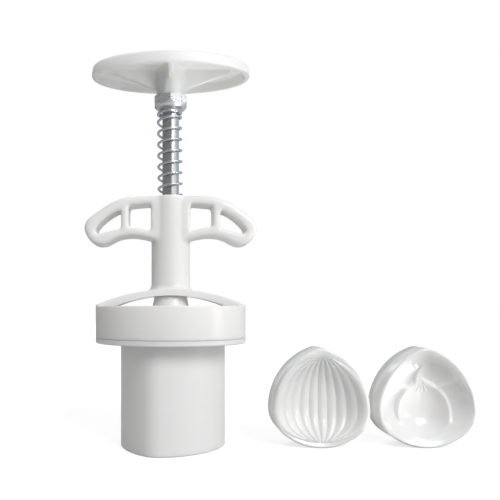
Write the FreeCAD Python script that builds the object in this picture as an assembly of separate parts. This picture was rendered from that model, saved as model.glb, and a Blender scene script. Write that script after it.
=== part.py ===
import FreeCAD, Part
import math
import os

# A hand press for mooncakes. A knob on a steel rod drives a plunger down through a
# chestnut-shaped barrel. The barrel twist-locks under the collar of a T-handle, and a
# spring between the handle and the knob brings the plunger back up. Two stamps, which
# push onto the plunger, stand beside the press. Millimetres; +Z is up, the origin is
# on the rod's axis in the plane of the barrel's mouth, and the front faces -Y.

Vector = FreeCAD.Vector
UP = Vector(0, 0, 1)

# Chestnut outline of a stamp, with the rod's axis inside it
chestnut_width = 45.6
tip_to_widest = 30.0
widest_to_base = 17.0
tip_radius = 7.1
cheek_radius = 13.9
axis_to_widest = 5.0
tip_turn = 18.0             # degrees from the front towards the left

# Barrel
barrel_depth = 49.3
bore_clearance = 0.35
barrel_wall = 2.0
mouth_round = 0.8
flange_overhang = 8.55      # past the barrel wall at the chestnut's tip
flange_thickness = 2.5
flange_round = 0.8

# Twist lock between the barrel's neck and the handle's collar
seam_gap = 0.1
seam_bevel = 0.12
twist_clearance = 0.3
lock_count = 3
lock_play = 0.15
ledge_rise = 2.5            # from the collar's lower edge to the ledges
ledge_height = 2.4
ledge_reach = 2.3
ledge_span = 44.0           # degrees
lug_height = 2.5
lug_span = 36.0
stop_span = 3.0
neck_wall = 2.0

# Handle. The outlines are (distance from the rod's axis, drop from the post's top).
collar_height = 15.0
collar_wall = 2.5
collar_round = 0.5
arch_gap = 4.8              # open height above the collar, at the axis
arch_reach = 25.2           # half the length of the opening under the arch
arch_thickness = 2.9
arch_ledge = 0.75           # how far the arch reaches past the post, front and back
post_wall = 2.55            # around the spring's pocket
post_height = 44.4
post_foot_round = 3.5
wing_depth = 15.6
wing_round = 2.0
wing_outline = [
    (0, 0), (12, 0), (20, 0.6), (25.5, 2.1), (31, 5.1), (36.5, 8.9), (39.9, 12),
    (40.9, 15), (39.7, 19), (37, 22.3), (33, 23.6), (29.5, 22.7), (26, 20.8),
    (21.5, 19.5), (15.5, 19.5), (9.2, 20.9), (0, 24),
]
window_corner = 0.4
inner_window_gap = 0.1      # between the post and the first window
inner_window_drops = (3.8, 16.9)
inner_window_bottom = (14.3, 15.4)
strut_start = 19.8
strut_start_drops = (4.8, 14.8)
strut_end = 23.45
strut_end_drops = (6.7, 15.7)
outer_window_top = (30.5, 10.7)
outer_window_shoulder = (35.2, 15.4)
outer_window_side = (35.2, 17.4)
outer_window_toe = (33.2, 18.1)
outer_window_bottom = (28.3, 16.7)

# Rod and spring
rod_radius = 4.0
slide_clearance = 0.08
screw_clearance = 0.03
rod_end_inset = 0.3         # how far the rod stops short of the spigot's end
spring_play = 0.9           # between the rod and the inside of the spring
spring_wire = 1.2
spring_pitch = 5.4
spring_pocket_depth = 24.0
spring_pocket_clearance = 0.6

# Nuts and washer
lock_nut_flats = 15.3
lock_nut_height = 5.9
plunger_nut_flats = 13.0
plunger_nut_height = 4.0
nut_top_inset = 0.2         # from the flats to the edge of the turned upper face
nut_top_slope = 0.6         # height of the cut corners over their width
nut_foot_inset = 0.9
nut_foot_slope = 1.1
washer_radius = 8.0
washer_thickness = 1.6

# Plunger
plate_drop = 7.4            # from the collar's top down to the plate's lower face
plate_thickness = 3.0
hub_clearance = 0.3
hub_wall = 3.75             # around the rod, at the hub's top
hub_flare = 1.45            # how much wider the hub is at its foot
hub_foot_rise = 2.0
hub_foot_reach = 1.2
gusset_count = 4
gusset_inset = 5.3          # from the plate's widest edge
gusset_height = 3.5
gusset_thickness = 2.0
gusset_toe = 0.5            # how deep the gussets root in the plate
spigot_wall = 2.0
spigot_length = 6.3
pocket_clearance = 0.3      # around the washer and nut inside the spigot

# Knob
knob_half_length = 38.0
knob_half_width = 21.5
knob_draft = 0.4
knob_rim_height = 5.1
knob_crown = 2.6
knob_wall = 2.7
knob_roof = 2.2
knob_edge_round = 1.0
knob_rim_chamfer = 0.5
crown_steps = 6
boss_wall = 1.55            # around the insert
boss_length = 8.9           # from the lock nut up to the level of the knob's rim
rib_thickness = 2.0
rib_root = 0.5              # how deep the ribs root in the knob's roof
long_rib_start = 3.4        # up from the boss's foot
long_rib_end = 2.6          # up from the rim's lower edge
long_rib_inset = 9.0        # from the knob's end
cross_rib_start = -2.0      # from the rim's lower edge, at the boss
cross_rib_end = 0.4
insert_wall = 1.3
insert_length = 10.0
insert_play = 0.3           # above the insert, in the boss

# Stamps. The bowl's sections are (share of its outline, share of its depth).
stamp_rim = 1.0
bowl_depth = 8.5
bowl_sections = [
    (1.04, -0.08), (1.0, 0.02), (0.9, 0.155), (0.8, 0.35), (0.65, 0.64), (0.45, 0.9),
    (0.25, 0.99),
]
stamp_wall = 1.8
bowl_wall = 2.0
socket_clearance = 0.2
socket_wall = 1.6
back_rib_thickness = 1.6
back_rib_drop = 2.0         # from the stamp's back edge to the ribs

# Where the two loose stamps stand: the gap from the collar to the first stamp, and the
# gap between the two
stamp_to_collar = 12.3
stamp_to_stamp = 3.9

# How far a cutting shape runs past what it cuts
past = 1.0

# Worked out from the sizes above
tip_to_axis = tip_to_widest - axis_to_widest
base_to_axis = widest_to_base + axis_to_widest
cheek_x = chestnut_width / 2 - cheek_radius
outline_reach = max(tip_to_axis, math.hypot(cheek_x, axis_to_widest) + cheek_radius)
barrel_offset = bore_clearance + barrel_wall
collar_radius = outline_reach + barrel_offset + flange_overhang
flange_top = barrel_depth + flange_thickness
collar_bottom = flange_top + seam_gap
collar_top = collar_bottom + collar_height
collar_bore = collar_radius - collar_wall
ledge_radius = collar_bore - ledge_reach
ledge_bottom = collar_bottom + ledge_rise
ledge_top = ledge_bottom + ledge_height
lug_bottom = ledge_top + lock_play
neck_top = lug_bottom + lug_height
neck_radius = ledge_radius - twist_clearance
arch_bottom = collar_top + arch_gap
arch_top = arch_bottom + arch_thickness
post_top = arch_top + post_height
plate_bottom = collar_top - plate_drop
plate_top = plate_bottom + plate_thickness
hub_top = arch_bottom - hub_clearance
hub_top_radius = rod_radius + hub_wall
hub_foot_radius = hub_top_radius + hub_flare
gusset_reach = chestnut_width / 2 - gusset_inset
pocket_radius = max(washer_radius, plunger_nut_flats / math.sqrt(3)) + pocket_clearance
spigot_radius = pocket_radius + spigot_wall
socket_radius = spigot_radius + socket_clearance
socket_depth = spigot_length + socket_clearance
stamp_height = bowl_depth + bowl_wall + socket_depth
stroke = plate_bottom - stamp_height
nut_bottom = post_top + stroke
nut_top = nut_bottom + lock_nut_height
rim_bottom = nut_top + boss_length
rim_top = rim_bottom + knob_rim_height
spring_seat = post_top - spring_pocket_depth
spring_radius = rod_radius + spring_play + spring_wire
spring_pocket_radius = spring_radius + spring_pocket_clearance
post_radius = spring_pocket_radius + post_wall
arch_depth = 2 * (post_radius + arch_ledge)
insert_radius = rod_radius + insert_wall
boss_radius = insert_radius + boss_wall
rod_bottom = plate_bottom - spigot_length + rod_end_inset
rod_top = nut_top + insert_length
screw_radius = rod_radius + screw_clearance
first_stamp_x = collar_radius + stamp_to_collar + chestnut_width / 2
stamp_spacing = chestnut_width + stamp_to_stamp


def save(name, shape):
    shape.exportStep("parts/" + name + ".step")


def cylinder(radius, bottom, top):
    return Part.makeCylinder(radius, top - bottom, Vector(0, 0, bottom))


def ring(outer, inner, bottom, top):
    return cylinder(outer, bottom, top).cut(cylinder(inner, bottom, top))


def ring_sector(outer, inner, bottom, top, start, span):
    wedge = Part.makeCylinder(outer, top - bottom, Vector(0, 0, bottom), UP, span)
    wedge.rotate(Vector(0, 0, 0), UP, start)
    return wedge.cut(cylinder(inner, bottom, top))


def revolve(points):
    outline = Part.makePolygon([Vector(r, 0, z) for r, z in points + points[:1]])
    return Part.Face(outline).revolve(Vector(0, 0, 0), UP, 360)


def edges_at(shape, axis, place):
    # Edges that lie wholly in the plane where the coordinate `axis` equals `place`
    low = axis + "Min"
    high = axis + "Max"
    found = []
    for edge in shape.Edges:
        box = edge.BoundBox
        if abs(getattr(box, low) - place) < 1e-4 and abs(getattr(box, high) - place) < 1e-4:
            found.append(edge)
    return found


def hex_nut(flats, bottom, height):
    # The corners are cut by a cone at both ends, the lower one deeper, as on a turned nut
    corner = flats / math.sqrt(3)
    points = []
    for step in range(7):
        angle = math.radians(60 * step + 30)
        points.append(Vector(corner * math.cos(angle), corner * math.sin(angle), bottom))
    prism = Part.Face(Part.makePolygon(points)).extrude(Vector(0, 0, height))
    top = bottom + height
    foot_face = flats / 2 - nut_foot_inset
    top_face = flats / 2 - nut_top_inset
    turned = revolve([
        (0, bottom), (foot_face, bottom),
        (corner, bottom + (corner - foot_face) * nut_foot_slope),
        (corner, top - (corner - top_face) * nut_top_slope), (top_face, top), (0, top),
    ])
    return prism.common(turned).cut(cylinder(screw_radius, bottom, top))


def chestnut(offset=0.0, scale=1.0):
    # Six tangent arcs: tip, two flanks, two cheeks and base, with the tip at -Y.
    # A positive offset moves every arc outwards by that much.
    half = chestnut_width / 2
    tip_y = -tip_to_axis
    wide_y = axis_to_widest
    base_y = wide_y + widest_to_base
    tip_centre_y = tip_y + tip_radius
    rise = wide_y - tip_centre_y
    flank_radius = (half ** 2 + rise ** 2 - tip_radius ** 2) / (2 * (half - tip_radius))
    base_radius = cheek_x ** 2 + widest_to_base ** 2 - cheek_radius ** 2
    base_radius = base_radius / (2 * (widest_to_base - cheek_radius))
    flank_x = half - flank_radius
    base_centre_y = base_y - base_radius
    tip_angle = math.atan2(tip_centre_y - wide_y, -flank_x)
    cheek_angle = math.atan2(wide_y - base_centre_y, cheek_x)

    def point(x, y, radius, angle):
        reach = radius + offset
        return Vector(
            scale * (x + reach * math.cos(angle)), scale * (y + reach * math.sin(angle)), 0)

    def arc(x, y, radius, start, end):
        middle = (start + end) / 2
        ends = [point(x, y, radius, angle) for angle in (start, middle, end)]
        return Part.Arc(*ends).toShape()

    right = 0.0
    left = math.pi
    arcs = [
        arc(0, tip_centre_y, tip_radius, -left - tip_angle, tip_angle),
        arc(flank_x, wide_y, flank_radius, tip_angle, right),
        arc(cheek_x, wide_y, cheek_radius, right, cheek_angle),
        arc(0, base_centre_y, base_radius, cheek_angle, left - cheek_angle),
        arc(-cheek_x, wide_y, cheek_radius, left - cheek_angle, left),
        arc(-flank_x, wide_y, flank_radius, left, left - tip_angle),
    ]
    return Part.Wire(arcs)


def chestnut_prism(offset, bottom, top):
    outline = chestnut(offset)
    outline.translate(Vector(0, 0, bottom))
    return Part.Face(outline).extrude(Vector(0, 0, top - bottom))


def turn_to_tip(shape):
    shape.rotate(Vector(0, 0, 0), UP, -tip_turn)
    return shape


def make_barrel():
    tube = chestnut_prism(barrel_offset, 0, plate_top)
    tube = tube.makeFillet(mouth_round, edges_at(tube, "Z", 0))
    tube = turn_to_tip(tube)
    flange = cylinder(collar_radius, barrel_depth, flange_top)
    flange = flange.makeFillet(flange_round, edges_at(flange, "Z", barrel_depth))
    flange = flange.makeChamfer(seam_bevel, edges_at(flange, "Z", flange_top))
    neck = ring(neck_radius, neck_radius - neck_wall, flange_top, neck_top)
    barrel = tube.fuse([flange, neck])
    for number in range(lock_count):
        middle = 360 / lock_count * number - 90
        lug_radius = collar_bore - twist_clearance
        lug = ring_sector(
            lug_radius, neck_radius - neck_wall / 2, lug_bottom, neck_top,
            middle - lug_span / 2, lug_span)
        barrel = barrel.fuse(lug)
    bore = turn_to_tip(chestnut_prism(bore_clearance, -past, plate_top + past))
    return barrel.cut(bore).removeSplitter()


def wing_point(side, place):
    # On the front of the wings, by the distance from the axis and the drop from the post's top
    x, drop = place
    return Vector(side * x, -wing_depth / 2, post_top - drop)


def make_windows():
    # The four openings through the wings: two with an arched sill, two that taper to the tips
    window_start = post_radius + inner_window_gap
    cutters = []
    for side in (-1, 1):
        crown = wing_point(side, (window_start, inner_window_drops[0]))
        far_crown = wing_point(side, (strut_start, strut_start_drops[0]))
        far_sill = wing_point(side, (strut_start, strut_start_drops[1]))
        sill = wing_point(side, (window_start, inner_window_drops[1]))
        inner = Part.Wire([
            Part.makeLine(crown, far_crown),
            Part.makeLine(far_crown, far_sill),
            Part.Arc(far_sill, wing_point(side, inner_window_bottom), sill).toShape(),
            Part.makeLine(sill, crown),
        ])
        head = wing_point(side, (strut_end, strut_end_drops[0]))
        shoulder = wing_point(side, outer_window_shoulder)
        toe = wing_point(side, outer_window_toe)
        foot = wing_point(side, (strut_end, strut_end_drops[1]))
        outer = Part.Wire([
            Part.Arc(head, wing_point(side, outer_window_top), shoulder).toShape(),
            Part.Arc(shoulder, wing_point(side, outer_window_side), toe).toShape(),
            Part.Arc(toe, wing_point(side, outer_window_bottom), foot).toShape(),
            Part.makeLine(foot, head),
        ])
        for outline in (inner, outer):
            cutter = Part.Face(outline).extrude(Vector(0, wing_depth, 0))
            corner_edges = [
                edge for edge in cutter.Edges if edge.BoundBox.YLength > wing_depth / 2]
            cutters.append(cutter.makeFillet(window_corner, corner_edges))
    return cutters


def make_wings():
    # One moulding, flat front and back, with the edges of its outline rounded
    halves = []
    for side in (-1, 1):
        spline = Part.BSplineCurve()
        spline.interpolate([wing_point(side, place) for place in wing_outline])
        halves.append(spline.toShape())
    face = Part.Face(Part.Wire(Part.__sortEdges__(halves)))
    wings = face.extrude(Vector(0, wing_depth, 0)).cut(make_windows())
    rims = edges_at(wings, "Y", -wing_depth / 2) + edges_at(wings, "Y", wing_depth / 2)
    return wings.makeFillet(wing_round, [edge for edge in rims if edge.Length > post_height])


def make_arch():
    # A strap across the collar, curved along X. Its lower arc runs on to the collar wall.
    under_radius = (arch_reach ** 2 + arch_gap ** 2) / (2 * arch_gap)
    under_centre = arch_bottom - under_radius
    under_end = under_centre + math.sqrt(under_radius ** 2 - collar_radius ** 2)
    front = -arch_depth / 2
    top_left = Vector(-collar_radius, front, collar_top)
    top_right = Vector(collar_radius, front, collar_top)
    foot_left = Vector(-collar_radius, front, under_end)
    foot_right = Vector(collar_radius, front, under_end)
    outline = Part.Wire([
        Part.Arc(top_left, Vector(0, front, arch_top), top_right).toShape(),
        Part.makeLine(top_right, foot_right),
        Part.Arc(foot_right, Vector(0, front, arch_bottom), foot_left).toShape(),
        Part.makeLine(foot_left, top_left),
    ])
    strap = Part.Face(outline).extrude(Vector(0, arch_depth, 0))
    return strap.common(cylinder(collar_radius, collar_bottom, arch_top))


def make_collar():
    collar = cylinder(collar_radius, collar_bottom, collar_top)
    collar = collar.makeChamfer(seam_bevel, edges_at(collar, "Z", collar_bottom))
    collar = collar.makeFillet(collar_round, edges_at(collar, "Z", collar_top))
    collar = collar.cut(cylinder(collar_bore, collar_bottom, collar_top))
    for number in range(lock_count):
        middle = 360 / lock_count * number - 90
        ledge = ring_sector(
            collar_radius - collar_wall / 2, ledge_radius, ledge_bottom, ledge_top,
            middle - ledge_span / 2, ledge_span)
        stop_start = middle + lug_span / 2 + (ledge_span - lug_span) / 2 - stop_span
        stop = ring_sector(
            collar_radius - collar_wall / 2, ledge_radius, ledge_bottom, neck_top,
            stop_start, stop_span)
        collar = collar.fuse([ledge, stop])
    return collar


def foot_edges(shape):
    # Where the post's cylinder meets the top of the arch
    found = []
    for edge in shape.Edges:
        box = edge.BoundBox
        inside = box.XMax < arch_depth and box.XMin > -arch_depth
        if inside and box.ZMin > arch_bottom + arch_thickness / 2 and box.ZMax < post_top:
            found.append(edge)
    return found


def make_handle():
    post = cylinder(post_radius, arch_bottom, post_top)
    stem = make_arch().fuse(post).removeSplitter()
    stem = stem.makeFillet(post_foot_round, foot_edges(stem))
    seat = cylinder(hub_top_radius + past, collar_top, arch_bottom)
    handle = stem.cut(seat).fuse([make_collar(), make_wings()])
    pocket = cylinder(spring_pocket_radius, spring_seat, post_top + past)
    bore = cylinder(rod_radius + slide_clearance, arch_bottom - past, post_top + past)
    return handle.cut([pocket, bore]).removeSplitter()


def make_plunger():
    foot_reach = hub_foot_radius + hub_foot_reach
    hub = revolve([
        (0, plate_bottom), (foot_reach, plate_bottom), (foot_reach, plate_top),
        (hub_foot_radius, plate_top + hub_foot_rise), (hub_top_radius, hub_top), (0, hub_top),
    ])
    plate = turn_to_tip(chestnut_prism(0, plate_bottom, plate_top))
    spigot = cylinder(spigot_radius, plate_bottom - spigot_length, plate_bottom)
    body = plate.fuse([hub, spigot])
    gusset_root = (hub_top_radius + rod_radius) / 2
    side = -gusset_thickness / 2
    for number in range(gusset_count):
        outline = Part.makePolygon([
            Vector(gusset_root, side, plate_top - gusset_toe),
            Vector(gusset_reach, side, plate_top - gusset_toe),
            Vector(gusset_reach, side, plate_top),
            Vector(hub_top_radius, side, plate_top + gusset_height),
            Vector(gusset_root, side, plate_top + gusset_height),
            Vector(gusset_root, side, plate_top - gusset_toe),
        ])
        gusset = Part.Face(outline).extrude(Vector(0, gusset_thickness, 0))
        gusset.rotate(Vector(0, 0, 0), UP, 360 / gusset_count * number - tip_turn)
        body = body.fuse(gusset)
    nut_pocket = cylinder(pocket_radius, plate_bottom - spigot_length - past, plate_bottom)
    rod_hole = cylinder(screw_radius, plate_bottom - past, hub_top + past)
    return body.cut([nut_pocket, rod_hole]).removeSplitter()


def make_spring():
    # Its upper end bears on the lock nut, its lower end on the floor of the post's pocket
    coil_radius = spring_radius - spring_wire / 2
    start = spring_seat + spring_wire / 2
    height = nut_bottom - spring_seat - spring_wire
    path = Part.makeHelix(spring_pitch, height, coil_radius)
    path.translate(Vector(0, 0, start))
    circumference = 2 * math.pi * coil_radius
    section = Part.Wire(Part.makeCircle(
        spring_wire / 2, Vector(coil_radius, 0, start), Vector(0, circumference, spring_pitch)))
    sweep = Part.BRepOffsetAPI.MakePipeShell(Part.Wire(path.Edges))
    sweep.setFrenetMode(True)
    sweep.add(section)
    sweep.build()
    sweep.makeSolid()
    return sweep.shape()


def oval_turning(points):
    # Points of a section through the knob's length, turned and then narrowed in Y
    turned = revolve(points)
    narrow = FreeCAD.Matrix()
    narrow.A22 = knob_half_width / knob_half_length
    return turned.transformGeometry(narrow)


def make_knob():
    top_reach = knob_half_length - knob_draft
    crown = []
    for step in range(crown_steps + 1):
        reach = (top_reach - knob_edge_round) * (1 - step / crown_steps)
        crown.append((reach, rim_top + knob_crown * (1 - (reach / top_reach) ** 2)))
    edge_cut = knob_edge_round / 3
    outer = oval_turning([
        (0, rim_bottom), (knob_half_length - knob_rim_chamfer, rim_bottom),
        (knob_half_length, rim_bottom + knob_rim_chamfer),
        (top_reach, rim_top - knob_edge_round), (top_reach - edge_cut, rim_top - edge_cut),
    ] + crown)
    inner_reach = knob_half_length - knob_wall
    ceiling = rim_top - knob_roof + knob_crown / 2
    root = ceiling + rib_root
    hollow = Part.Face(Part.Wire(Part.Ellipse(
        Vector(0, 0, rim_bottom - past), inner_reach, knob_half_width - knob_wall).toShape()))
    hollow = hollow.extrude(Vector(0, 0, ceiling - rim_bottom + past))
    knob = outer.cut(hollow)
    boss = cylinder(boss_radius, nut_top, root)
    side = -rib_thickness / 2
    long_reach = knob_half_length - long_rib_inset
    long_rib = Part.Face(Part.makePolygon([
        Vector(-long_reach, side, root),
        Vector(-long_reach, side, rim_bottom + long_rib_end),
        Vector(-boss_radius, side, nut_top + long_rib_start),
        Vector(boss_radius, side, nut_top + long_rib_start),
        Vector(long_reach, side, rim_bottom + long_rib_end),
        Vector(long_reach, side, root),
        Vector(-long_reach, side, root),
    ])).extrude(Vector(0, rib_thickness, 0))
    cross_reach = knob_half_width - knob_wall / 2
    cross_rib = Part.Face(Part.makePolygon([
        Vector(side, -cross_reach, root),
        Vector(side, -cross_reach, rim_bottom + cross_rib_end),
        Vector(side, -boss_radius, rim_bottom + cross_rib_start),
        Vector(side, boss_radius, rim_bottom + cross_rib_start),
        Vector(side, cross_reach, rim_bottom + cross_rib_end),
        Vector(side, cross_reach, root),
        Vector(side, -cross_reach, root),
    ])).extrude(Vector(rib_thickness, 0, 0))
    knob = knob.fuse([boss, long_rib, cross_rib])
    seat_top = nut_top + insert_length + insert_play
    return knob.cut(cylinder(insert_radius, nut_top, seat_top))


def bowl(grow, depth):
    # A dish sunk into a stamp's face at Z = 0. `grow` widens it and `depth` is its floor.
    half = chestnut_width / 2
    sections = []
    for share, sink in bowl_sections:
        outline = chestnut(0, share * (half - stamp_rim + grow) / half)
        outline.translate(Vector(0, 0, depth * sink))
        sections.append(outline)
    return Part.makeLoft(sections, True, False)


def make_stamp():
    # Modelled as it hangs on the plunger, with its face down in the plane Z = 0
    skirt = chestnut_prism(0, 0, stamp_height)
    hollow = chestnut_prism(-stamp_wall, bowl_wall, stamp_height + past)
    dish_back = bowl(bowl_wall - stamp_rim, bowl_depth + bowl_wall)
    stamp = skirt.cut(hollow.cut(dish_back))
    # The ribs start inside the dish, which is cut out of them again
    rib_foot = bowl_depth / 2
    rib_height = stamp_height - back_rib_drop - rib_foot
    cross_length = chestnut_width - stamp_wall
    cross = Part.makeBox(
        cross_length, back_rib_thickness, rib_height,
        Vector(-cross_length / 2, -back_rib_thickness / 2, rib_foot))
    upright = Part.makeBox(
        back_rib_thickness, tip_to_axis + base_to_axis - stamp_wall, rib_height,
        Vector(-back_rib_thickness / 2, stamp_wall / 2 - tip_to_axis, rib_foot))
    socket = cylinder(socket_radius + socket_wall, rib_foot, stamp_height)
    stamp = stamp.fuse([cross, upright, socket]).cut(bowl(0, bowl_depth))
    seat = cylinder(socket_radius, stamp_height - socket_depth, stamp_height + past)
    return stamp.cut(seat).removeSplitter()


def stand_up(stamp, x):
    # On its base edge, face to the front, tip upwards
    stamp.rotate(Vector(0, 0, 0), Vector(1, 0, 0), -90)
    stamp.translate(Vector(x, -stamp_height / 2, base_to_axis))
    return stamp


os.makedirs("parts", exist_ok=True)
save("barrel", make_barrel())
save("handle", make_handle())
save("plunger", make_plunger())
save("plunger_washer", ring(
    washer_radius, screw_radius, plate_bottom - washer_thickness, plate_bottom))
save("plunger_nut", hex_nut(
    plunger_nut_flats, plate_bottom - washer_thickness - plunger_nut_height, plunger_nut_height))
save("rod", cylinder(rod_radius, rod_bottom, rod_top))
save("spring", make_spring())
save("lock_nut", hex_nut(lock_nut_flats, nut_bottom, lock_nut_height))
save("knob_insert", ring(insert_radius, screw_radius, nut_top, nut_top + insert_length))
save("knob", make_knob())
save("ridged_stamp", stand_up(make_stamp(), first_stamp_x))
save("chestnut_stamp", stand_up(make_stamp(), first_stamp_x + stamp_spacing))
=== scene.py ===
import math

import bmesh
import bpy
from mathutils import Matrix, Vector


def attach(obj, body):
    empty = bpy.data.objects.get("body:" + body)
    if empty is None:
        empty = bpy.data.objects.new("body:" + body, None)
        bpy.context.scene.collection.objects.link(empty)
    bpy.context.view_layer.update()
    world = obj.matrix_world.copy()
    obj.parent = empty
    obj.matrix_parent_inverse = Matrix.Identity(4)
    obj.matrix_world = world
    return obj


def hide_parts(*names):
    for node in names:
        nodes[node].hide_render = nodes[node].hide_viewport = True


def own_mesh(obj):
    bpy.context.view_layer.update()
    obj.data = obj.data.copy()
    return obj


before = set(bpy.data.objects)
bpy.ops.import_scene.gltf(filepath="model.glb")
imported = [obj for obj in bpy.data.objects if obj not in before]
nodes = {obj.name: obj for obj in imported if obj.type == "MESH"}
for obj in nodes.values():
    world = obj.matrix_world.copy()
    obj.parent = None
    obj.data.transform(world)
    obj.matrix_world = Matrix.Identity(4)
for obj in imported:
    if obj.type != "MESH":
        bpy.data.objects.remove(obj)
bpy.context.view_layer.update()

# Barrel. The chestnut-shaped tube that the dough is pressed in, with a round flange and a
# neck whose lugs lock under the handle's collar. One injection moulding in white
# polypropylene, smooth outside, whose tone drifts a little with the flow of the plastic.

MM = 0.001
scene = bpy.context.scene


class Shade:
    """A value in a material's nodes. Python arithmetic on it adds Math nodes."""

    def __init__(self, tree, socket=None):
        self.tree = tree
        self.socket = socket

    def node(self, kind, settings, sockets, output=0):
        made = self.tree.nodes.new(kind)
        for name, setting in settings.items():
            setattr(made, name, setting)
        for name, value in sockets.items():
            if isinstance(value, Shade):
                self.tree.links.new(value.socket, made.inputs[name])
            else:
                made.inputs[name].default_value = value
        return Shade(self.tree, made.outputs[output])

    def math(self, operation, first, second):
        return self.node("ShaderNodeMath", {"operation": operation}, {0: first, 1: second})

    def __add__(self, other):
        return self.math("ADD", self, other)

    def __mul__(self, other):
        return self.math("MULTIPLY", self, other)

    __radd__ = __add__
    __rmul__ = __mul__

    def noise(self, scale, detail, stretch=(1, 1, 1)):
        spot = self.node("ShaderNodeTexCoord", {}, {}, "Object")
        spot = self.node("ShaderNodeMapping", {}, {"Vector": spot, "Scale": stretch})
        return self.node(
            "ShaderNodeTexNoise", {}, {"Vector": spot, "Scale": scale, "Detail": detail})

    def blend(self, amount, first, second):
        return self.node(
            "ShaderNodeMix", {"data_type": "RGBA"}, {0: amount, 6: first, 7: second}, 2)

    def bump(self, height, depth):
        return self.node("ShaderNodeBump", {}, {"Height": height, "Distance": depth})


def new_finish(name, fixed):
    # A material with one Principled shader. What is the same all over is set on its sockets.
    material = bpy.data.materials.new(name)
    material.use_nodes = True
    shader = material.node_tree.nodes["Principled BSDF"]
    for socket, value in fixed.items():
        shader.inputs[socket].default_value = value
    return material, shader, Shade(material.node_tree)


def feed(material, shader, **sources):
    # What changes over the surface is linked to the shader
    for socket, source in sources.items():
        material.node_tree.links.new(source.socket, shader.inputs[socket.replace("_", " ")])


def moulded_plastic(name, lean, full, roughness, grain, glow=2.2 * MM):
    # Tone drifts with the wall and with the flow, and the gloss with the mould's polish.
    # `glow` is how far light travels inside the plastic.
    material, shader, shade = new_finish(name, {
        "IOR": 1.49, "Subsurface Weight": 0.85, "Subsurface Radius": (1.0, 0.92, 0.84),
        "Subsurface Scale": glow})
    drift = shade.noise(scale=38.0, detail=3.0)
    flow = shade.noise(scale=120.0, detail=4.0, stretch=(1, 1, 0.25))
    polish = shade.noise(scale=420.0, detail=5.0, stretch=(1, 0.35, 1))
    pores = shade.noise(scale=2600.0, detail=2.0)
    feed(
        material, shader,
        Base_Color=shade.blend(drift * 0.8 + flow * 0.2, (*lean, 1), (*full, 1)),
        Roughness=polish * 0.16 + pores * 0.06 + (roughness - 0.11),
        Normal=shade.bump(pores * 0.6 + polish * 0.4, grain))
    return material


barrel_plastic = moulded_plastic(
    "barrel_plastic", lean=(0.85, 0.845, 0.825), full=(0.885, 0.88, 0.865),
    roughness=0.36, grain=0.010 * MM)
nodes["barrel"].material_slots[0].material = barrel_plastic


# Plunger. A chestnut plate with a ribbed hub above it, which the rod passes through, and a
# round spigot below it for the stamps. Moulded like the barrel but a shade warmer.

plunger_plastic = moulded_plastic(
    "plunger_plastic", lean=(0.85, 0.84, 0.81), full=(0.885, 0.875, 0.855),
    roughness=0.34, grain=0.012 * MM)
nodes["plunger"].material_slots[0].material = plunger_plastic


# Washer and plunger nut. They hold the plunger on the rod's thread, inside the spigot.
# Turned steel with bright zinc plating, whose cloudy film shows the tool marks.

def plated_steel(name, metal, bright, dull, roughness, film, lines, stretch, depth):
    # `film` and `lines` are the scales of the plating's clouds and of the tool marks, which
    # `stretch` draws out and `depth` sinks
    material, shader, shade = new_finish(name, {})
    cloud = shade.noise(scale=film, detail=4.0)
    marks = shade.noise(scale=lines, detail=3.0, stretch=stretch)
    feed(
        material, shader,
        Base_Color=shade.blend(cloud * 0.55 + marks * 0.45, (*bright, 1), (*dull, 1)),
        Metallic=cloud * 0.3 + (metal - 0.15),
        Roughness=marks * 0.12 + cloud * 0.12 + (roughness - 0.12),
        Normal=shade.bump(marks, depth))
    return material


zinc_plate = plated_steel(
    "zinc_plate", metal=0.68, bright=(0.75, 0.755, 0.76), dull=(0.46, 0.49, 0.52),
    roughness=0.28, film=260.0, lines=900.0, stretch=(1, 1, 4), depth=0.012 * MM)
for name in ("plunger_washer", "plunger_nut"):
    nodes[name].material_slots[0].material = zinc_plate


# Rod. An 8 mm steel bar from the plunger up into the knob, ground and chrome plated, with
# fine grinding lines round it. It slides in the bore of the handle's post.

chrome_plate = plated_steel(
    "chrome_plate", metal=0.90, bright=(0.80, 0.80, 0.80), dull=(0.40, 0.40, 0.41),
    roughness=0.18, film=1100.0, lines=240.0, stretch=(1, 1, 24), depth=0.006 * MM)
nodes["rod"].material_slots[0].material = chrome_plate


# Handle. One white moulding: a round collar that twist-locks on the barrel, an arch over
# it, and a post that carries two finger wings with windows. The collar and the arch keep
# their crisp edges; the post's top and the wings are rounded and run into each other.

skin_weld = 0.0005 * MM
grip_foot = 88.0 * MM           # the rounded part starts here, on the plain post
grip_start = 84.0 * MM
grip_weld = 0.4 * MM
grip_grain = 0.42 * MM
grip_rounding = 4               # passes over the whole grip
bar_rounding = 24               # more passes over the fronts and backs of the bars
bar_front = 4.5 * MM            # from here on out, front and back
bar_reach = 5.6 * MM            # and this far from the rod's axis
post_radius = 9.25 * MM
post_bore = 4.08 * MM
post_middle = (post_radius + post_bore) / 2
post_turned = 5.0 * MM          # this far above the foot, the post leaves its exact round
post_fade = 3.0 * MM
crisp_angle = math.radians(28)


def merged_copy(node):
    # The node's loose triangles, joined up into one skin
    skin = bmesh.new()
    skin.from_mesh(nodes[node].data)
    bmesh.ops.remove_doubles(skin, verts=skin.verts, dist=skin_weld)
    return skin


def cut_level(skin, height, keep_top):
    bmesh.ops.bisect_plane(
        skin, geom=skin.verts[:] + skin.edges[:] + skin.faces[:], plane_co=(0, 0, height),
        plane_no=(0, 0, 1), clear_inner=keep_top, clear_outer=not keep_top)


def open_edges(skin, inside=0.0, outside=1.0):
    # Edges with a face on one side only, between two distances from the rod's axis
    found = []
    for edge in skin.edges:
        reach = edge.verts[0].co.xy.length
        if edge.is_boundary and inside < reach < outside:
            found.append(edge)
    return found


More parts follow.
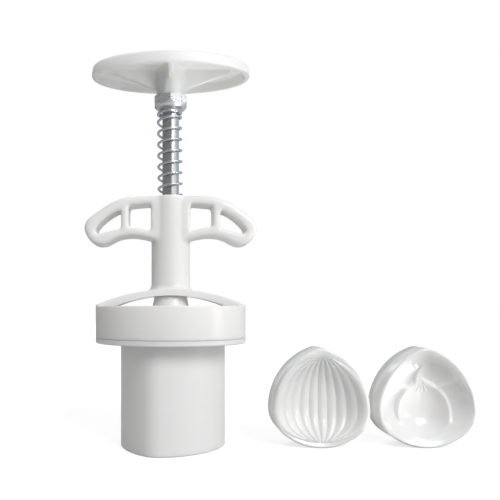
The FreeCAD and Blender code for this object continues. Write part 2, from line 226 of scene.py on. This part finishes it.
def piece_of(name, skin, material):
    # The finished skin as an object, which takes the skin's place in memory
    mesh = bpy.data.meshes.new(name)
    skin.to_mesh(mesh)
    skin.free()
    mesh.materials.append(material)
    piece = bpy.data.objects.new(name, mesh)
    scene.collection.objects.link(piece)
    return piece


def worn(skin, verts, passes):
    # Edges and corners wear softer with each pass
    for _ in range(passes):
        bmesh.ops.smooth_vert(
            skin, verts=verts, factor=0.5,
            use_axis_x=True, use_axis_y=True, use_axis_z=True)


def rounded(skin, grain, passes):
    # An even skin of small squares, whose edges and corners are then worn soft
    block = piece_of("block", skin, None)
    even = block.modifiers.new("even", "REMESH")
    even.mode = "VOXEL"
    even.voxel_size = grain
    mesh = block.evaluated_get(bpy.context.evaluated_depsgraph_get()).to_mesh()
    soft = bmesh.new()
    soft.from_mesh(mesh)
    bpy.data.objects.remove(block)
    worn(soft, soft.verts, passes)
    return soft


def shaded(skin, crisp=crisp_angle):
    # Smooth faces, with the edges that are sharper than the given angle left crisp
    bmesh.ops.recalc_face_normals(skin, faces=skin.faces)
    for face in skin.faces:
        face.smooth = True
    for edge in skin.edges:
        edge.smooth = edge.calc_face_angle(0) < crisp
    return skin


grip = merged_copy("handle")
cut_level(grip, grip_start, True)
bmesh.ops.bridge_loops(grip, edges=open_edges(grip))
grip = rounded(grip, grip_grain, grip_rounding)
bars = [v for v in grip.verts if abs(v.co.y) > bar_front and abs(v.co.x) > bar_reach]
worn(grip, bars, bar_rounding)
cut_level(grip, grip_foot, True)
for vert in grip.verts:
    share = min(1.0, (grip_foot + post_turned - vert.co.z) / post_fade)
    if share > 0:
        reach = vert.co.xy.length
        goal = post_radius if reach > post_middle else post_bore
        vert.co.xy *= 1 + share * (goal / reach - 1)
grip_mesh = bpy.data.meshes.new("grip")
grip.to_mesh(grip_mesh)
grip.free()

handle_skin = merged_copy("handle")
cut_level(handle_skin, grip_foot - grip_weld, False)
handle_skin.from_mesh(grip_mesh)
bmesh.ops.bridge_loops(handle_skin, edges=open_edges(handle_skin, inside=post_middle))
bmesh.ops.bridge_loops(handle_skin, edges=open_edges(handle_skin, outside=post_middle))

handle_plastic = moulded_plastic(
    "handle_plastic", lean=(0.86, 0.855, 0.835), full=(0.89, 0.885, 0.87),
    roughness=0.33, grain=0.010 * MM)
handle = piece_of("handle_moulding", shaded(handle_skin), handle_plastic)
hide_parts("handle")
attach(handle, "handle")


# Spring. Round steel wire, coiled right-handed round the rod between the bottom of the
# post's pocket and the lock nut. The last turn at each end lies closed. It leans a little.
# The real spring flattens downwards as the knob is pressed; this coil keeps its length.

coil_radius = 5.5 * MM
coil_wire = 1.2 * MM
coil_foot = 95.0 * MM
coil_top = 161.5 * MM
coil_lean = -0.6 * MM
coil_sides = 14
coil_steps = 40                 # in one turn
coil_start = math.radians(147)
closed_rise = 1.25 * MM
open_turns = 11.0
easing_turns = 0.5

coil = bmesh.new()
start = Matrix.Rotation(coil_start, 4, "Z") @ Matrix.Translation(
    (coil_radius, 0, coil_foot + coil_wire / 2))
bmesh.ops.create_circle(
    coil, segments=coil_sides, radius=coil_wire / 2, cap_ends=True,
    matrix=start @ Matrix.Rotation(math.radians(90), 4, "X"))
free_rise = coil_top - coil_foot - coil_wire - 2 * closed_rise
easing_rise = 2 * easing_turns * closed_rise
open_rise = (free_rise - easing_rise) / (open_turns + easing_turns)
half_rise = (closed_rise + open_rise) / 2
last = coil.faces[:]
for turns, rise in (
        (1.0, closed_rise), (easing_turns, half_rise), (open_turns, open_rise),
        (easing_turns, half_rise), (1.0, closed_rise)):
    steps = round(turns * coil_steps)
    made = bmesh.ops.spin(
        coil, geom=last, cent=(0, 0, 0), axis=(0, 0, 1), dvec=(0, 0, rise / coil_steps),
        angle=math.tau * turns, steps=steps, use_duplicate=False)
    last = made["geom_last"]
for vert in coil.verts:
    vert.co.x += coil_lean * (vert.co.z - coil_foot) / (coil_top - coil_foot)

spring_steel = plated_steel(
    "spring_steel", metal=0.90, bright=(0.70, 0.75, 0.79), dull=(0.42, 0.48, 0.53),
    roughness=0.24, film=600.0, lines=700.0, stretch=(1, 1, 1), depth=0.006 * MM)
spring = piece_of("coil_spring", shaded(coil), spring_steel)
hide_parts("spring")
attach(spring, "handle")
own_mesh(spring)


# Lock nut and insert. The nut on the rod's upper thread locks the knob, whose boss holds
# a turned brass insert. Nothing of the insert shows once the knob is on.

nodes["lock_nut"].material_slots[0].material = zinc_plate

turned_brass = plated_steel(
    "turned_brass", metal=0.90, bright=(0.78, 0.62, 0.33), dull=(0.62, 0.47, 0.24),
    roughness=0.30, film=260.0, lines=300.0, stretch=(1, 1, 12), depth=0.010 * MM)
nodes["knob_insert"].material_slots[0].material = turned_brass


# Knob. An oval palm plate with a turned-down rim, and under it a boss and four ribs that
# run softly into it. One white moulding, pressed down by the palm.

knob_grain = 0.36 * MM
knob_rounding = 6

knob_plastic = moulded_plastic(
    "knob_plastic", lean=(0.845, 0.838, 0.818), full=(0.875, 0.868, 0.852),
    roughness=0.42, grain=0.012 * MM, glow=9.0 * MM)
knob_skin = rounded(merged_copy("knob"), knob_grain, knob_rounding)
knob = piece_of("palm_knob", shaded(knob_skin), knob_plastic)
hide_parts("knob")
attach(knob, "plunger")


# Ridged stamp. A push-on face for the plunger: a chestnut-shaped dish that shapes the top
# of the cake with eight round ridges, running from tip to base. Glossy white plastic,
# hollow behind, with a socket and four ribs.

stamp_half = 22.8               # the outline's half width, in millimetres
stamp_centre = 22.0             # from the base up to the socket's axis
stamp_face = -8.5
stamp_back = 8.5
stamp_points = 400              # round the outline
stamp_crisp = math.radians(50)
dish_rings = 84
dish_depth = 8.5
dish_wall = 2.0
back_rings = 14
back_roll = 3.2                 # how late the dish's back rolls over, seen from behind
skirt_wall = 1.8
inner_chamfer = (0.012, 0.3)    # at the skirt's back edge: share of the outline, depth
outer_chamfer = (0.015, 0.35)
lip_width = 0.9                 # the round edge between skirt and face
lip_depth = 1.1
lip_steps = 6
socket_bore = 10.5
socket_wall = 1.6
socket_floor = 1.5              # inside; outside, the wall starts at its root
socket_root = 0.6
socket_chamfer = (0.3, 0.4)
socket_steps = 72
rib_half = 0.8
rib_top = 6.5
rib_root = 0.2                  # how far a rib reaches into the dish's wall
rib_rim = 0.9                   # share of its length at which a rib's foot levels out
rib_steps = 10
rib_ways = (((0, 1), 25.0), ((1, 0), 22.3), ((0, -1), 22.0), ((-1, 0), 22.3))
ridge_height = 0.9
ridge_count = 9                 # eight whole ridges, and half a one at each side
ridge_field = 0.868             # the ridges' field is this much of the outline
ridge_foot = 2.6
ridge_roll = 1.9
ridge_side = 1.2                # the ridges end here, in half widths of the field
ridge_side_fade = 0.2
ridge_pole = 0.6                # half width of the field at its poles
ridge_pole_fade = 5.0
tip_arc = (0.0, 39.9, 7.1)      # the outline's arcs: x and z of the centre, and radius
flank_arc = (8.851, 17.0, 31.651)
cheek_arc = (-8.9, 17.0, 13.9)
base_arc = (0.0, 28.226, 28.226)
flank_angle = math.atan2(tip_arc[1] - flank_arc[1], -flank_arc[0])
base_angle = math.atan2(cheek_arc[1] - base_arc[1], cheek_arc[0]) + math.tau
outline_arcs = (
    (*tip_arc, math.pi / 2, flank_angle), (*flank_arc, flank_angle, math.pi),
    (*cheek_arc, math.pi, base_angle), (*base_arc, base_angle, 1.5 * math.pi))
half_length = sum(radius * (end - start) for _, _, radius, start, end in outline_arcs)


def outline_point(turn):
    # On the chestnut outline: 0 is the tip, 1 the middle of the base, less than 0 the right
    left = abs(turn) * half_length
    for x, z, radius, start, end in outline_arcs:
        if left <= radius * (end - start) or end == 1.5 * math.pi:
            break
        left -= radius * (end - start)
    angle = start + left / radius
    x += radius * math.cos(angle)
    return Vector((math.copysign(x, -turn), z + radius * math.sin(angle)))


def half_width(z):
    # Half the outline's width at a height
    if z > tip_arc[1] + tip_arc[2] * math.sin(flank_angle):
        arc = tip_arc
    elif z > flank_arc[1]:
        arc = flank_arc
    elif z > base_arc[1] + base_arc[2] * math.sin(base_angle):
        arc = cheek_arc
    else:
        arc = base_arc
    x, level, radius = arc
    return math.sqrt(max(0.0, radius ** 2 - (z - level) ** 2)) - x


def ease(share):
    share = min(1.0, max(0.0, share))
    return share * share * (3 - 2 * share)


def dish(share, depth, roll):
    # Depth of a dish whose lip rolls over at the rim
    return depth * (1 - ease(share ** roll))


def ridges(x, z, share):
    # Eight convex ridges between meridians that meet at two poles
    wide = ridge_field * half_width((z - ridge_foot) / ridge_field)
    depth = dish(share, dish_depth, ridge_roll)
    if wide <= ridge_pole:
        return depth
    place = abs(x) / wide
    fade = ease((ridge_side - place) / ridge_side_fade)
    fade *= ease((wide - ridge_pole) / ridge_pole_fade)
    wave = abs(math.sin(math.pi * ridge_count / 2 * min(place, 1.0)))
    return depth - ridge_height * fade * wave


def dish_back(share):
    return stamp_face + dish(share, dish_depth, back_roll) + dish_wall


def stamp_sections():
    # (share of the outline, y) from the middle of the back, round the skirt, to the face
    wall = 1 - skirt_wall / stamp_half
    sections = []
    for ring in range(1, back_rings + 1):
        share = ring * wall / back_rings
        sections.append((share, dish_back(share)))
    sections += [
        (wall, stamp_back - inner_chamfer[1]), (wall + inner_chamfer[0], stamp_back),
        (1.0 - outer_chamfer[0], stamp_back), (1.0, stamp_back - outer_chamfer[1]),
        (1.0, 0.0), (1.0, stamp_face + lip_depth)]
    for step in range(1, lip_steps + 1):
        angle = math.radians(90 / lip_steps * step)
        sections.append((
            1 - lip_width * (1 - math.cos(angle)) / stamp_half,
            stamp_face + lip_depth - lip_depth * math.sin(angle)))
    return sections


def make_stamp(name, body, x, relief, material):
    skin = bmesh.new()
    turns = skin.verts.layers.float.new("turn")
    bmesh.ops.create_circle(skin, segments=stamp_points, radius=1)
    for vert in skin.verts:
        vert[turns] = math.atan2(-vert.co.x, vert.co.y) / math.pi

    def place(verts, share, y):
        for vert in verts:
            spot = outline_point(vert[turns]) - Vector((0, stamp_centre))
            spot = spot * share + Vector((0, stamp_centre))
            depth = y if y is not None else stamp_face + relief(*spot, share)
            vert.co = ((x + spot.x) * MM, depth * MM, spot.y * MM)

    sections = stamp_sections()
    rim = sections[-1][0]
    sections += [(rim * (1 - ring / dish_rings), None) for ring in range(1, dish_rings)]
    place(skin.verts, *sections[0])
    edges = skin.edges[:]
    bmesh.ops.edgeloop_fill(skin, edges=edges)
    for share, y in sections[1:]:
        made = bmesh.ops.extrude_edge_only(skin, edges=edges)["geom"]
        edges = [part for part in made if isinstance(part, bmesh.types.BMEdge)]
        edges = [edge for edge in edges if edge.is_boundary]
        place({vert for edge in edges for vert in edge.verts}, share, y)
    bmesh.ops.edgeloop_fill(skin, edges=edges)

    # The socket, turned about the stamp's axis
    skirt = socket_bore + socket_wall
    inwards, down = socket_chamfer
    profile = [
        (socket_bore, socket_floor), (socket_bore, stamp_back - down),
        (socket_bore + inwards, stamp_back), (skirt - inwards, stamp_back),
        (skirt, stamp_back - down), (skirt, socket_root)]
    corners = [
        skin.verts.new(((x + r) * MM, y * MM, stamp_centre * MM)) for r, y in profile]
    ring = [skin.edges.new(pair) for pair in zip(corners, corners[1:] + corners[:1])]
    bmesh.ops.spin(
        skin, geom=corners + ring, cent=(x * MM, 0, stamp_centre * MM), axis=(0, 1, 0),
        angle=math.tau, steps=socket_steps, use_merge=True)

    # Four ribs from the socket out to the skirt, rooted in the dish's wall
    for ahead, length in rib_ways:
        ahead = Vector(ahead)
        start = socket_bore + socket_wall / 2
        reach = length - skirt_wall / 2
        rib = bmesh.ops.create_grid(skin, x_segments=rib_steps, y_segments=1, size=1)["verts"]
        for vert in rib:
            out = start + (vert.co.x + 1) / 2 * (reach - start)
            low = dish_back(min(rib_rim, out / reach)) - rib_root
            vert.co = Vector((
                (x + ahead.x * out) * MM,
                (rib_top if vert.co.y > 0 else low) * MM,
                (stamp_centre + ahead.y * out) * MM))
        across = Vector((ahead.y, 0, -ahead.x)) * rib_half * MM
        faces = list({face for vert in rib for face in vert.link_faces})
        other = bmesh.ops.extrude_face_region(skin, geom=faces)["geom"]
        other = [part for part in other if isinstance(part, bmesh.types.BMVert)]
        bmesh.ops.translate(skin, verts=rib, vec=-across)
        bmesh.ops.translate(skin, verts=other, vec=across)
    stamp = piece_of(name, shaded(skin, stamp_crisp), material)
    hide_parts(body)
    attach(stamp, body)


stamp_plastic = moulded_plastic(
    "stamp_plastic", lean=(0.83, 0.83, 0.82), full=(0.86, 0.858, 0.85),
    roughness=0.18, grain=0.006 * MM)
make_stamp("ridged_face_stamp", "ridged_stamp", x=71.0, relief=ridges, material=stamp_plastic)


# Chestnut stamp. The same moulding with another face: five chestnuts lie in the dish, one
# in front of the others, sunk so that they stand up on the cake. Short lines run down
# from each tip.

nut_shapes = (
    # From the front to the back: x, z, radius, lean of the tip to the right, depth, lines
    (0.2, 16.2, 11.9, -0.04, 2.9, 0.5),
    (-13.2, 19.4, 9.6, -0.17, 1.8, 0.45),
    (13.9, 20.2, 9.6, 0.15, 1.7, 0.35),
    (5.0, 30.9, 8.0, -0.30, 1.5, 0.0),
    (-5.6, 31.4, 8.2, -0.14, 1.5, 0.45),
)
bowl_depth = 6.0
bowl_roll = 2.2
tip_length = 0.24               # of the radius
tip_spread = 0.35               # radians round the middle of the nut
crest_width = 0.17
line_pitch = 0.40               # radians round the tip
line_fan = 0.95
line_fan_fade = 0.3
line_start = 1.0                # distances from the tip
line_end = 6.4
line_end_fade = 2.6


def chestnuts(x, z, share):
    # A nut at the back stops where the crest round one in front of it begins
    depth = dish(share, bowl_depth, bowl_roll)
    open_share = 1.0
    for left, up, radius, lean, sink, line in nut_shapes:
        spot = Vector((x - left, z - up))
        angle = math.remainder(math.atan2(spot.x, spot.y) - lean, math.tau)
        far = spot.length / radius / (1 + tip_length * math.exp(-abs(angle) / tip_spread))
        if far < 1:
            tip = Vector((math.sin(lean), math.cos(lean))) * radius * (1 + tip_length)
            from_tip = spot - tip
            away = math.atan2(from_tip.x, -from_tip.y) + lean
            near = from_tip.length
            fan = ease((line_fan - abs(away)) / line_fan_fade)
            fan *= ease(near - line_start) * ease((line_end - near) / line_end_fade)
            stripe = 0.5 + 0.5 * math.cos(math.tau * away / line_pitch)
            return depth + open_share * (sink * (1 - far * far) - line * fan * stripe)
        open_share *= ease((far - 1) / crest_width)
    return depth


make_stamp(
    "chestnut_face_stamp", "chestnut_stamp", x=120.5, relief=chestnuts, material=stamp_plastic)


# Table and backdrop, the lamps and the camera. The white table keeps the object's shadow. A
# large soft lamp stands at the front right, a weaker one behind, and small ones at the right
# and below. A dark screen at the left and a grey one at the right are for metal to mirror.

table_corners = [(-6, -3, 0), (6, -3, 0), (6, 12, 0), (-6, 12, 0)]
table_tone = 0.49
table_white = 0.705             # added for the camera's rays near the press
table_white_far = 0.79          # and where the lamps are too far to help
table_near = 0.25
table_far = 1.0
table_mirrored = 0.2            # share of the added white that gloss and metal mirror
world_fill = 0.44               # light of the backdrop, which the camera sees as 1
screen_radius = 0.6
screen_heights = (-0.2, 0.9)
screen_steps = 24

table = bpy.data.materials.new("table_white")
table.use_nodes = True
tree = table.node_tree
tree.nodes.clear()
shade = Shade(tree)
path = (
    shade.node("ShaderNodeLightPath", {}, {}, "Is Camera Ray")
    + shade.node("ShaderNodeLightPath", {}, {}, "Is Transmission Ray")
    + shade.node("ShaderNodeLightPath", {}, {}, "Is Glossy Ray") * table_mirrored)
path = shade.math("MINIMUM", path, 1.0)
away = shade.node("ShaderNodeTexCoord", {}, {}, "Object")
away = shade.node("ShaderNodeVectorMath", {"operation": "LENGTH"}, {0: away}, "Value")
away = shade.node(
    "ShaderNodeMapRange", {}, {"Value": away, "From Min": table_near, "From Max": table_far})
white = path * (away * (table_white_far - table_white) + table_white)
lit = shade.node("ShaderNodeBsdfDiffuse", {}, {"Color": (table_tone, table_tone, table_tone, 1)})
glow = shade.node("ShaderNodeEmission", {}, {"Color": (1, 1, 1, 1), "Strength": white})
both = shade.node("ShaderNodeAddShader", {}, {0: lit, 1: glow})
output = tree.nodes.new("ShaderNodeOutputMaterial")
tree.links.new(both.socket, output.inputs["Surface"])

table_top = bmesh.new()
table_top.faces.new([table_top.verts.new(corner) for corner in table_corners])
piece_of("table", table_top, table)


def screen(name, start, end, tone):
    # An upright curved screen round the press, which only mirrored rays meet. Its ends are
    # in degrees from the front, and more to the right is positive.
    material = bpy.data.materials.new(name)
    material.use_nodes = True
    shader = material.node_tree.nodes["Principled BSDF"]
    shader.inputs["Base Color"].default_value = (0, 0, 0, 1)
    shader.inputs["Specular IOR Level"].default_value = 0
    shader.inputs["Emission Color"].default_value = (*tone, 1)
    shader.inputs["Emission Strength"].default_value = 1.0
    skin = bmesh.new()
    turn = Matrix.Rotation(math.radians(start), 3, "Z")
    edge = [skin.verts.new(turn @ Vector((0, -screen_radius, z))) for z in screen_heights]
    side = skin.edges.new(edge)
    bmesh.ops.spin(
        skin, geom=edge + [side], cent=(0, 0, 0), axis=(0, 0, 1),
        angle=math.radians(end - start), steps=screen_steps)
    panel = piece_of(name, skin, material)
    panel.visible_camera = False
    panel.visible_diffuse = False
    panel.visible_shadow = False
    panel.visible_transmission = False


screen("dark_screen", start=13, end=-170, tone=(0.22, 0.215, 0.21))
screen("grey_screen", start=84, end=180, tone=(0.52, 0.57, 0.60))

world = bpy.data.worlds.new("studio")
scene.world = world
world.use_nodes = True
tree = world.node_tree
tree.nodes.clear()
shade = Shade(tree)
seen = (
    shade.node("ShaderNodeLightPath", {}, {}, "Is Camera Ray")
    + shade.node("ShaderNodeLightPath", {}, {}, "Is Glossy Ray")
    + shade.node("ShaderNodeLightPath", {}, {}, "Is Transmission Ray"))
seen = shade.math("MINIMUM", seen, 1.0)
back = shade.node(
    "ShaderNodeBackground", {},
    {"Color": (1, 1, 1, 1), "Strength": seen * (1 - world_fill) + world_fill})
output = tree.nodes.new("ShaderNodeOutputWorld")
tree.links.new(back.socket, output.inputs["Surface"])


def lamp(name, place, aim, size, power, tint, spread=180):
    light = bpy.data.lights.new(name, "AREA")
    light.shape = "RECTANGLE"
    light.size, light.size_y = size
    light.energy = power
    light.color = tint
    light.spread = math.radians(spread)
    holder = bpy.data.objects.new(name, light)
    holder.location = place
    holder.rotation_euler = (Vector(aim) - Vector(place)).to_track_quat("-Z", "Y").to_euler()
    scene.collection.objects.link(holder)


lamp(
    "key", place=(1.10, -1.71, 1.32), aim=(0.02, 0, 0.09), size=(1.02, 0.96),
    power=31.8, tint=(0.98, 0.99, 1.0))
lamp(
    "back", place=(-0.20, 1.95, 1.30), aim=(0.02, 0, 0.09), size=(1.2, 1.0),
    power=12.0, tint=(1.0, 1.0, 1.0))
lamp(
    "side", place=(0.55, -0.20, 0.08), aim=(0.03, 0, 0.11), size=(0.04, 0.08),
    power=0.30, tint=(1.0, 1.0, 1.0))
lamp(                           # up at the knob's underside
    "under", place=(0.10, -0.015, 0.003), aim=(0.0, 0, 0.178), size=(0.10, 0.06),
    power=0.013, tint=(1.0, 1.0, 0.98), spread=28)
lamp(                           # on the knob's boss and the lock nut
    "low", place=(0.20, -0.20, 0.10), aim=(0.006, -0.005, 0.165), size=(0.02, 0.02),
    power=0.0015, tint=(1.0, 1.0, 0.98), spread=9)

# The camera looks level at the arch. Its shift puts the press at the left of the frame.
eye = bpy.data.cameras.new("camera")
eye.sensor_width = 36.0
eye.lens = 43.2
eye.shift_x = 0.1586
eye.shift_y = 0.112
eye.clip_start = 0.01
camera = bpy.data.objects.new("camera", eye)
camera.location = (0, -0.2895, 0.0668)
camera.rotation_euler = (math.radians(90), 0, 0)
scene.collection.objects.link(camera)
scene.camera = camera

scene.view_settings.view_transform = "Standard"
